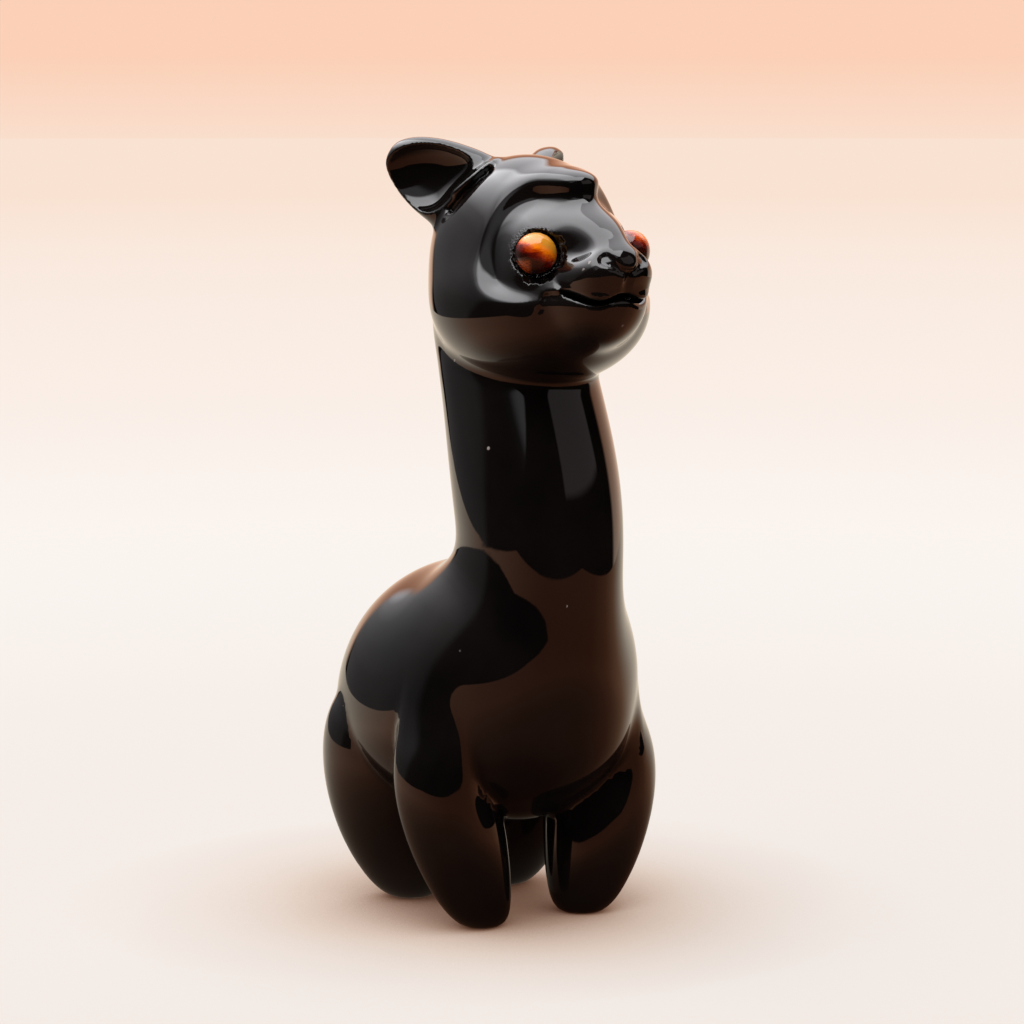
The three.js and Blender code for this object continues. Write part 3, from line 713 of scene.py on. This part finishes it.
class Nodes:
    """Short calls that add and link a material's nodes."""

    def __init__(self, tree):
        self.tree = tree
        tree.nodes.clear()

    def add(self, kind, inputs=None, **values):
        node = self.tree.nodes.new(kind)
        for key, value in values.items():
            setattr(node, key, value)
        for key, value in (inputs or {}).items():
            self.feed(node.inputs[key], value)
        return node

    def feed(self, socket, value):
        if isinstance(value, bpy.types.NodeSocket):
            self.tree.links.new(value, socket)
        else:
            socket.default_value = value

    def math(self, operation, a, b=0.0):
        return self.add("ShaderNodeMath", operation=operation, inputs={0: a, 1: b}).outputs[0]

    def times(self, a, b):
        return self.math("MULTIPLY", a, b)

    def plus(self, a, b):
        return self.math("ADD", a, b)

    def minus(self, a, b):
        return self.math("SUBTRACT", a, b)

    def over(self, a, b):
        return self.math("DIVIDE", a, b)

    def larger(self, a, b):
        return self.math("MAXIMUM", a, b)

    def span(self, value, low, high, to_low=0.0, to_high=1.0, curve="SMOOTHSTEP"):
        """Goes from one value to the other as the input goes from low to high, and stays there beyond."""
        limits = {"From Min": low, "From Max": high, "To Min": to_low, "To Max": to_high}
        node = self.add("ShaderNodeMapRange", interpolation_type=curve, inputs={"Value": value, **limits})
        return node.outputs["Result"]

    def share(self, value, low, high):
        return self.span(value, low, high, curve="LINEAR")

    def window(self, value, low, high, soft):
        """1 from low to high and 0 outside, with soft edges."""
        above = self.span(value, low - soft, low + soft)
        below = self.span(value, high + soft, high - soft)
        return self.times(above, below)

    def vector_math(self, operation, *vectors):
        return self.add("ShaderNodeVectorMath", operation=operation, inputs=dict(enumerate(vectors)))

    def dot(self, vector, axis):
        return self.vector_math("DOT_PRODUCT", vector, axis).outputs["Value"]

    def length(self, vector):
        return self.vector_math("LENGTH", vector).outputs["Value"]

    def ramp(self, value, stops):
        node = self.add("ShaderNodeValToRGB", inputs={"Fac": value})
        elements = node.color_ramp.elements
        while len(elements) < len(stops):
            elements.new(0.5)
        for element, (place, colour) in zip(elements, stops):
            element.position = place
            element.color = (*colour, 1)
        return node.outputs["Color"]

    def mix(self, factor, a, b, how="MIX"):
        node = self.add("ShaderNodeMix", data_type="RGBA", blend_type=how)
        for name, value in (("Factor", factor), ("A", a), ("B", b)):
            socket = [s for s in node.inputs if s.name == name and s.enabled][0]
            self.feed(socket, (*value, 1) if isinstance(value, tuple) else value)
        return [s for s in node.outputs if s.enabled][0]

    def noise(self, vector, scale, detail, roughness=0.5, distortion=0.0):
        values = {"Scale": scale, "Detail": detail, "Roughness": roughness, "Distortion": distortion}
        return self.add("ShaderNodeTexNoise", inputs={"Vector": vector, **values}).outputs["Fac"]

    def bump(self, height, depth, **inputs):
        values = {"Strength": 1.0, "Distance": depth, "Height": height, **inputs}
        return self.add("ShaderNodeBump", inputs=values).outputs["Normal"]

    def glow(self, colour, strength=1.0):
        return self.add("ShaderNodeEmission", inputs={"Color": colour, "Strength": strength}).outputs[0]

    def either(self, factor, a, b):
        return self.add("ShaderNodeMixShader", inputs={0: factor, 1: a, 2: b}).outputs[0]


def new_material(name):
    material = bpy.data.materials.new(name)
    material.use_nodes = True
    return material, Nodes(material.node_tree)


# Obsidian: almost black, with faint clouds inside, smears in the polish, a frosted ring of chips round each
# eye and a few specks of dust. Scales are counts for each metre, and depths are in metres.
CLOUDS = dict(scale=90, detail=3)
CLOUD_COLOURS = ((0.3, (0.0015, 0.0012, 0.0012)), (0.7, (0.006, 0.0045, 0.004)))
GRIT = dict(scale=2600, detail=2, roughness=0.7)
GRIT_SHOWN = (0.52, 0.7)
FROST_COLOUR = (0.06, 0.055, 0.052)
DUST_SCALE = 420.0
DUST_SIZE = (0.1, 0.06)
DUST_PLACES = dict(scale=260, detail=1)
DUST_SHOWN = (0.64, 0.68)
DUST_COLOUR = (0.25, 0.22, 0.2)
SMEARS = dict(scale=160, detail=4, roughness=0.6)
SMEAR_SHOWN = (0.45, 0.8)
POLISH = (0.022, 0.075)  # roughness between smears and on them
DULL = 0.55  # roughness of chips and dust
WAVES = dict(scale=170, detail=2, roughness=0.4)
WAVE_DEPTH = 0.00002
CHIPS = dict(scale=5200, detail=2, roughness=0.6)
CHIP_DEPTH = 0.00008
CHIP_STRENGTH = 0.8
OBSIDIAN_IOR = 1.5


def obsidian():
    material, n = new_material("obsidian")
    place = n.add("ShaderNodeTexCoord").outputs["Object"]
    worn = n.add("ShaderNodeAttribute", attribute_name="worn").outputs["Fac"]
    frost = n.times(worn, n.span(n.noise(place, **GRIT), *GRIT_SHOWN))
    cells = n.add("ShaderNodeTexVoronoi", feature="F1", inputs={"Vector": place, "Scale": DUST_SCALE})
    picked = n.span(n.noise(place, **DUST_PLACES), *DUST_SHOWN)
    dust = n.times(n.span(cells.outputs["Distance"], *DUST_SIZE), picked)
    colour = n.mix(frost, n.ramp(n.noise(place, **CLOUDS), CLOUD_COLOURS), FROST_COLOUR)
    colour = n.mix(dust, colour, DUST_COLOUR)
    polish = n.span(n.noise(place, **SMEARS), *SMEAR_SHOWN, *POLISH)
    rough = n.larger(polish, n.times(n.larger(frost, dust), DULL))
    waves = n.bump(n.noise(place, **WAVES), WAVE_DEPTH)
    chipped = n.bump(n.noise(place, **CHIPS), CHIP_DEPTH, Strength=n.times(worn, CHIP_STRENGTH), Normal=waves)
    values = {"Base Color": colour, "Roughness": rough, "IOR": OBSIDIAN_IOR, "Normal": chipped}
    shader = n.add("ShaderNodeBsdfPrincipled", inputs=values)
    n.add("ShaderNodeOutputMaterial", inputs={"Surface": shader.outputs["BSDF"]})
    return material


# Tiger's eye: its colour runs from near black below to amber above, leaning to the camera's right, and an
# orange streak lies low on the left. The amber and its wandering bands are the stone's own colour; the
# darkening towards the bottom of the dome and towards the camera's left is painted shade, and the left eye's
# darker colours are painted shade too. Distances on the dome are in millimetres.
AMBER = ((0.05, (0.006, 0.0015, 0.0006)), (0.3, (0.025, 0.002, 0.0004)), (0.46, (0.12, 0.004, 0.0003)),
         (0.56, (0.45, 0.045, 0.0003)), (0.66, (0.85, 0.2, 0.001)), (0.84, (0.55, 0.22, 0.012)))
AMBER_RISE = 0.94  # how fast the colour changes upwards; the dark lower part is painted shade
AMBER_ASIDE = 0.6  # and to the camera's right; the darker side on its left is painted shade
AMBER_REACH = 2.0  # the colours run over this much to either side of the middle
AMBER_WANDER = 1.6  # how far the bands wander
AMBER_SHADE_SHIFT = {-1: 0.0, 1: 1.4}  # painted shade: how far up the dome the colours are moved on each side, so that the left eye is darker than the right one
BANDS = dict(scale=0.9, detail=3, roughness=0.55, distortion=0.5)
FIBRES = dict(scale=6, detail=3, roughness=0.6, distortion=0.3)
FIBRE_WANDER = 0.35
FIBRE_TURN = (0, 0, 0.9)
FIBRE_STRETCH = (0.5, 1.7, 1.0)
FIBRE_DEPTH = 0.00003
FIBRE_STRENGTH = 0.2
STREAK_COLOUR = (0.25, 0.035, 0.002)
STREAK_ASIDE = (-0.3, -0.9)
STREAK_LOW = (-0.4, -0.8)
STREAK_FIBRES = (0.3, 0.6)
EYE_ROUGHNESS = ((0.3, 0.7), (0.22, 0.38))  # from these values of the fibres to these
EYE_FINISH = {
    "IOR": 1.54,
    "Specular IOR Level": 0.1,
    "Coat Weight": 0.75,
    "Coat Roughness": 0.03,
    "Coat IOR": 1.5,
    "Subsurface Weight": 0.12,
    "Subsurface Radius": (1.0, 0.35, 0.1),
    "Subsurface Scale": 0.0008,
}


def tiger_eye(side):
    """Bands of amber and dark brown that run across the dome, under a clear polish, with painted shade
    darkening the dome towards its bottom and the camera's left.
    """
    material, n = new_material("tigers_eye")
    place = n.add("ShaderNodeTexCoord").outputs["Object"]
    moved = n.vector_math("SUBTRACT", place, Vector(to_frame(SEAT * (side, 1, 1)))).outputs["Vector"]

    def reach(axis):
        return n.times(n.dot(moved, axis), TO_MM)

    height, aside = reach(Vector(EYE_UP)), reach(RIGHT)
    nearer, outer = (reach(Vector(axis * (side, 1, 1))) for axis in (EYE_NOSE, EYE_OUT))
    own = n.add("ShaderNodeCombineXYZ", inputs={"X": nearer, "Y": height, "Z": outer}).outputs["Vector"]
    turned = {"Vector": own, "Rotation": FIBRE_TURN, "Scale": FIBRE_STRETCH}
    stretched = n.add("ShaderNodeMapping", inputs=turned).outputs["Vector"]
    bands, fibres = n.noise(stretched, **BANDS), n.noise(stretched, **FIBRES)
    wander = n.plus(n.minus(bands, 0.5), n.times(n.minus(fibres, 0.5), FIBRE_WANDER))
    # painted shade: the colour darkens down the dome and towards the camera's left
    rise = n.plus(n.times(height, AMBER_RISE), n.times(aside, AMBER_ASIDE))
    rise = n.plus(n.minus(rise, AMBER_SHADE_SHIFT[side]), n.times(wander, AMBER_WANDER))
    colour = n.ramp(n.share(rise, -AMBER_REACH, AMBER_REACH), AMBER)
    streak = n.times(n.span(aside, *STREAK_ASIDE), n.span(height, *STREAK_LOW))
    colour = n.mix(n.times(streak, n.span(fibres, *STREAK_FIBRES)), colour, STREAK_COLOUR)
    shown, rough = EYE_ROUGHNESS
    normal = n.bump(fibres, FIBRE_DEPTH, Strength=FIBRE_STRENGTH)
    values = {"Base Color": colour, "Roughness": n.span(fibres, *shown, *rough), "Normal": normal}
    shader = n.add("ShaderNodeBsdfPrincipled", inputs={**values, **EYE_FINISH})
    n.add("ShaderNodeOutputMaterial", inputs={"Surface": shader.outputs["BSDF"]})
    return material


def linear(*colour):
    """A colour given in sRGB steps of 255, as light."""
    steps = (v / 255 for v in colour)
    return tuple(v / 12.92 if v <= 0.04045 else ((v + 0.055) / 1.055) ** 2.4 for v in steps)


# Camera: its place is measured from the middle of the feet, in millimetres.
BEARING = math.radians(-31.0)
PITCH = math.radians(7.15)
DISTANCE = 337.0
CAMERA_HEIGHT = 83.0
CAMERA_ASIDE = 1.65
LENS = 117.2
SENSOR = 36.0
CLIP = (0.01, 50.0)
RIGHT = Vector((math.cos(BEARING), math.sin(BEARING), 0))
AHEAD = Vector((-math.sin(BEARING), math.cos(BEARING), 0))
UP = Vector((0, 0, 1))

# Colours of the floor and of the backdrop as the camera sees them
PALE_TOP = linear(251, 208, 183)
PALE_HIGH = linear(249, 226, 210)
PALE_MID = linear(250, 238, 230)
PALE_LOW = linear(251, 246, 242)
# painted shade: the floor is darker and warmer towards the camera
PALE_SHADED_NEAR = linear(249, 232, 220)
SKY = ((0.0, PALE_HIGH), (0.62, PALE_TOP))
SKY_RISE = (-0.02, 0.03)

# Floor: distances are in metres from the middle of the box.
FLOOR_RADIUS = 6
FLOOR_SIDES = 96
FLOOR_TONES = ((0.05, PALE_LOW), (0.15, PALE_MID), (0.6, PALE_HIGH))
FLOOR_TONE_REACH = 4.0
FLOOR_SHADE_AHEAD = (-0.03, -0.12)  # places ahead between which it turns to the darker near colour, painted shade towards the camera
FLOOR_LIT = (0.33, 0.285, 0.25)
FLOOR_GLOW = (0.06, 0.3, 0.68, 1.0)  # from the first distance to the second, the share of its glow
# Painted shadow: within this reach, ambient occlusion darkens the floor's glow through these colours near the
# stone
CONTACT_REACH = 0.03
CONTACT_SHADOW = ((0.0, (0.05, 0.02, 0.012)), (0.35, (0.36, 0.2, 0.13)), (0.7, (0.82, 0.66, 0.55)),
           (0.95, (1.0, 1.0, 1.0)))

# The same floor as the polished stone reflects it: a glowing sheet that ends in front and at the sides,
# painted with light and shade: brown in front of the llama where it stands for the floor in shade, pale
# behind it where it stands for the lit floor, and dimmed towards the feet as a painted shadow. The stops go
# round from straight in front to straight behind.
ECHO_SHADED_FRONT = (0.38, 0.125, 0.058)
ECHO_LIT_BACK = (1.0, 0.85, 0.68)
ECHO_LEFT = ((0.0, ECHO_SHADED_FRONT), (0.22, (0.72, 0.32, 0.18)), (0.5, (0.95, 0.52, 0.34)), (0.8, ECHO_LIT_BACK))
ECHO_RIGHT = ((0.0, ECHO_SHADED_FRONT), (0.3, (0.42, 0.145, 0.065)), (0.55, (0.55, 0.2, 0.1)),
              (0.72, (0.7, 0.35, 0.2)), (0.9, ECHO_LIT_BACK))
ECHO_TURN = (-0.25, 0.1)  # sideways share between which the left colours become the right ones
ECHO_FEET_SHADOW = (0.0, 0.09, 0.08, 1.0)  # painted shadow near the feet: from the first distance to the second, its strength
ECHO_MIDDLE = 0.004  # keeps the directions steady at the very middle
SHEET_FRONT = 0.21
SHEET_ASIDE = 0.23
SHEET_EDGE = 0.01

# The reflected boxes: bearings are to the camera's right of straight towards it, and lifts up from level,
# in degrees. The key box's own coordinates are tangents, and its strength grows upwards.
KEY = dict(
    lean=40,
    across=(-2.2, 1.6),
    up=(-1.6, 3.2),
    soft=0.06,
    fade=(-0.4, 0.9, 1.0, 0.2),
    full=(-0.1, 0.2),
    edge=dict(slope=0.5, lift=1.1, soft=0.12, beyond=0.1),
    rise=(-0.9, 0.6),
    grade=((0.0, (0.06, 0.057, 0.057)), (0.15, (0.075, 0.072, 0.072)), (0.3, (0.12, 0.117, 0.12)),
           (0.42, (0.19, 0.186, 0.19)), (0.5, (0.34, 0.33, 0.34)), (0.6, (1.1, 1.08, 1.12)),
           (0.8, (2.3, 2.27, 2.33))),
)
FLATTEST = 0.001  # keeps the key box's coordinates finite behind it
SIDE_BOX = dict(bearing=(28, 95), lift=(15, 48), soft=2, colour=(0.145, 0.122, 0.125))
BACKDROP = dict(
    right=(116, 124),
    left=(-150, -158),
    lift=(-20, 70),
    grade=((0.0, (0.55, 0.42, 0.33)), (0.22, (0.5, 0.33, 0.24)), (0.4, (0.42, 0.2, 0.12)),
           (0.47, (0.36, 0.15, 0.08)), (0.53, (0.8, 0.78, 0.8)), (1.0, (1.3, 1.28, 1.32))),
)
ROOM_STRENGTH = 2.5
DARK = (0.0, 0.0, 0.0)


def add_camera():
    data = bpy.data.cameras.new("camera")
    data.lens = LENS
    data.sensor_width = SENSOR
    data.clip_start, data.clip_end = CLIP
    cam = link("camera", data)
    cam.location = (Vector((*FEET, 0)) - AHEAD * DISTANCE + RIGHT * CAMERA_ASIDE + UP * CAMERA_HEIGHT) * MM
    cam.rotation_euler = (math.pi / 2 - PITCH, 0, BEARING)
    bpy.context.scene.camera = cam


def seen_floor(n, away, ahead):
    """A pale sheet, part lit and part glowing, with a soft shadow round the feet that is real in the lit part
    and painted into the glow.
    """
    tone = n.ramp(n.over(away, FLOOR_TONE_REACH), FLOOR_TONES)
    tone = n.mix(n.span(ahead, *FLOOR_SHADE_AHEAD), tone, PALE_SHADED_NEAR)
    contact = n.add("ShaderNodeAmbientOcclusion", samples=8, inputs={"Distance": CONTACT_REACH})
    shaded = n.mix(1.0, tone, n.ramp(contact.outputs["AO"], CONTACT_SHADOW), how="MULTIPLY")
    lit = n.add("ShaderNodeBsdfDiffuse", inputs={"Color": (*FLOOR_LIT, 1)}).outputs[0]
    return n.either(n.span(away, *FLOOR_GLOW), lit, n.glow(shaded))


def reflected_floor(n, place, away, ahead):
    """Glows with painted light and shade: brown in front of the llama for the shaded floor, pale behind it
    for the lit floor, dimmed near the feet as a painted shadow, and open beyond the sheet's edges.
    """
    steady = n.plus(away, ECHO_MIDDLE)
    turn = n.share(n.over(ahead, steady), -1.0, 1.0)
    across = n.over(n.dot(place, RIGHT), steady)
    brown = n.mix(n.span(across, *ECHO_TURN), n.ramp(turn, ECHO_LEFT), n.ramp(turn, ECHO_RIGHT))
    aside = n.math("ABSOLUTE", n.dot(place, RIGHT))
    sheet = n.times(n.span(aside, SHEET_ASIDE + SHEET_EDGE, SHEET_ASIDE),
                    n.span(ahead, -SHEET_FRONT - SHEET_EDGE, -SHEET_FRONT))
    beyond = n.add("ShaderNodeBsdfTransparent").outputs[0]
    return n.either(sheet, beyond, n.glow(brown, n.span(away, *ECHO_FEET_SHADOW)))


def floor_material():
    material, n = new_material("floor")
    place = n.add("ShaderNodeTexCoord").outputs["Object"]
    away, ahead = n.length(place), n.dot(place, AHEAD)
    glossy = n.add("ShaderNodeLightPath").outputs["Is Glossy Ray"]
    which = n.either(glossy, seen_floor(n, away, ahead), reflected_floor(n, place, away, ahead))
    n.add("ShaderNodeOutputMaterial", inputs={"Surface": which})
    return material


def add_floor():
    turns = np.linspace(0, 2 * math.pi, FLOOR_SIDES, endpoint=False)
    ring = [(FLOOR_RADIUS * math.cos(a), FLOOR_RADIUS * math.sin(a), 0) for a in turns]
    mesh = bpy.data.meshes.new("floor")
    mesh.from_pydata(ring, [], [list(range(FLOOR_SIDES))])
    mesh.materials.append(floor_material())
    floor = link("floor", mesh)


def key_box(n, way, front):
    """A big soft box that leans over the llama's right side, brighter upwards and cut off aslant."""
    lean = math.radians(KEY["lean"])
    facing = n.larger(n.dot(way, UP * math.sin(lean) - RIGHT * math.cos(lean)), FLATTEST)
    u = n.over(front, facing)
    v = n.over(n.dot(way, UP * math.cos(lean) + RIGHT * math.sin(lean)), facing)
    inside = n.times(n.window(u, *KEY["across"], KEY["soft"]), n.window(v, *KEY["up"], KEY["soft"]))
    edge = KEY["edge"]
    cut = n.minus(u, n.times(n.plus(v, edge["lift"]), edge["slope"]))
    kept = n.span(cut, edge["soft"], -edge["soft"], edge["beyond"], 1.0)
    strength = n.times(n.larger(n.span(u, *KEY["fade"]), n.span(v, *KEY["full"])), kept)
    glow = n.mix(strength, DARK, n.ramp(n.share(v, *KEY["rise"]), KEY["grade"]))
    return n.mix(inside, DARK, glow)


def set_world():
    """Pale to the eye. In reflections it is a dark room with a big graded soft box leaning over the llama's
    right side, a dim box low on its left, and a warm backdrop behind."""
    world = bpy.data.worlds.new("studio")
    bpy.context.scene.world = world
    world.use_nodes = True
    n = Nodes(world.node_tree)
    way = n.add("ShaderNodeTexCoord").outputs["Generated"]
    rise = n.dot(way, UP)
    front = n.times(n.dot(way, AHEAD), -1)
    bearing = n.times(n.math("ARCTAN2", n.dot(way, RIGHT), front), 180 / math.pi)
    lift = n.times(n.math("ARCSINE", rise), 180 / math.pi)
    soft = SIDE_BOX["soft"]
    box = n.times(n.window(bearing, *SIDE_BOX["bearing"], soft), n.window(lift, *SIDE_BOX["lift"], soft))
    light = n.mix(box, key_box(n, way, front), SIDE_BOX["colour"])
    behind = n.larger(n.span(bearing, *BACKDROP["right"]), n.span(bearing, *BACKDROP["left"]))
    light = n.mix(behind, light, n.ramp(n.share(lift, *BACKDROP["lift"]), BACKDROP["grade"]))
    room = n.add("ShaderNodeBackground", inputs={"Color": light, "Strength": ROOM_STRENGTH}).outputs[0]
    sky = n.ramp(n.share(rise, *SKY_RISE), SKY)
    seen = n.add("ShaderNodeBackground", inputs={"Color": sky, "Strength": 1.0}).outputs[0]
    camera = n.add("ShaderNodeLightPath").outputs["Is Camera Ray"]
    n.add("ShaderNodeOutputWorld", inputs={"Surface": n.either(camera, room, seen)})


def add_llama():
    vertices, triangles = surface(stone)
    normals = gradient(stone, vertices)
    normals /= np.linalg.norm(normals, axis=1, keepdims=True)
    llama = new_object("llama", vertices, triangles, normals)
    worn = llama.data.attributes.new("worn", "FLOAT", "POINT")
    worn.data.foreach_set("value", worn_at(*vertices.T).astype(np.float32))
    llama.data.materials.append(obsidian())
    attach(llama, "root")
    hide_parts("body")


def add_eyes():
    for side, node in ((-1, "right_eye"), (1, "left_eye")):
        eye = lathe(node + "_stone", eye_profile(), side)
        eye.data.materials.append(tiger_eye(side))
        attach(eye, "root")
        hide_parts(node)


bpy.context.scene.view_settings.view_transform = "Standard"
add_camera()
add_floor()
set_world()
add_llama()
add_eyes()
